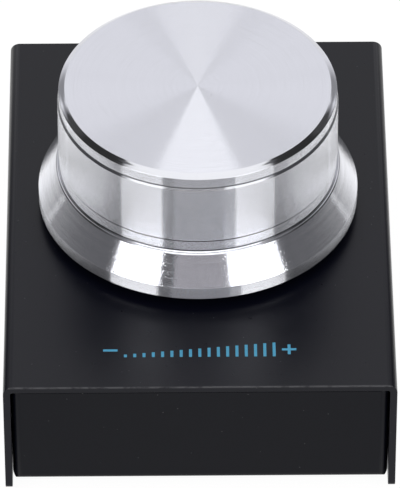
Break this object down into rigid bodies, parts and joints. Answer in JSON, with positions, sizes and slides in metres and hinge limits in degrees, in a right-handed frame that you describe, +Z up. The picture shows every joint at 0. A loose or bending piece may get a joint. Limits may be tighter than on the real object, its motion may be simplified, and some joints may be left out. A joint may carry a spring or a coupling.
{
  "type": "usb volume control knob",
  "caption": "Desktop volume control: a turned aluminium dial that turns without end and presses down, on a folded black sheet-metal box with rubber feet and a socket at the back.",
  "frame": {"origin": "on the desk, under the middle of the box", "axes": "+Z up, -Y towards the user at the front panel, +X to the user's right; the dial turns about an axis parallel to Z"},
  "size_m": [0.06, 0.082, 0.0462],
  "materials": {
    "cover_coat": "matt black powder coat",
    "tray_coat": "matt black powder coat",
    "turned_aluminium": "bright turned, fine turning marks",
    "rubber": "matt",
    "black_steel": "black oxide",
    "plated_steel": "bright zinc or nickel plate",
    "shaft_steel": "turned",
    "spring_steel": "bright",
    "cast_zinc": "cast and threaded",
    "tinned_copper": "tinned",
    "can_aluminium": "drawn",
    "brass": "turned",
    "gold_contact": "gold flash",
    "board": "green solder mask",
    "black_plastic": "moulded",
    "chip_plastic": "moulded",
    "ceramic_tan": "fired ceramic",
    "white_plastic": "moulded"
  },
  "bodies": {
    "enclosure": {"top_cover": "cover_coat", "bottom_tray": "tray_coat", "cover_screws": "black_steel", "clinch_nuts": "plated_steel", "rubber_feet": "rubber", "circuit_board": "board", "board_posts": "brass", "board_screws": "plated_steel", "floor_screws": "black_steel", "socket_shell": "plated_steel", "socket_tongue": "black_plastic", "socket_contacts": "gold_contact", "controller_chip": "chip_plastic", "chip_leads": "tinned_copper", "crystal": "plated_steel", "bulk_capacitor": "can_aluminium", "capacitor_base": "black_plastic", "chip_capacitors": "ceramic_tan", "chip_resistors": "chip_plastic", "encoder_frame": "plated_steel", "encoder_bushing": "cast_zinc", "encoder_base": "black_plastic", "encoder_terminals": "tinned_copper", "encoder_brushes": "gold_contact", "detent_spring": "spring_steel", "switch_housing": "black_plastic", "switch_dome": "spring_steel", "mounting_washer": "plated_steel", "mounting_nut": "plated_steel"},
    "rotor": {"encoder_rotor": "white_plastic", "code_disc": "gold_contact"},
    "dial": {"encoder_shaft": "shaft_steel", "retaining_clip": "spring_steel", "dial": "turned_aluminium", "dial_set_screw": "black_steel"},
    "plunger": {"switch_plunger": "white_plastic"}
  },
  "joints": [
    {"name": "dial_turn", "type": "hinge", "parent": "enclosure", "child": "rotor", "pos_m": [0, 0.002, 0.018], "axis": [0, 0, 1], "continuous": true},
    {"name": "dial_press", "type": "slide", "parent": "rotor", "child": "dial", "axis": [0, 0, -1], "range_m": [0, 0.0005], "stiffness_N_per_m": 6000, "springref_m": -0.0003},
    {"name": "switch_press", "type": "slide", "parent": "enclosure", "child": "plunger", "axis": [0, 0, -1], "range_m": [0, 0.0005], "stiffness_N_per_m": 0.01, "springref_m": -0.017, "deforming": ["switch_dome"]}
  ],
  "couplings": [
    {"joint": "switch_press", "follows": "dial_press", "ratio": 1}
  ]
}
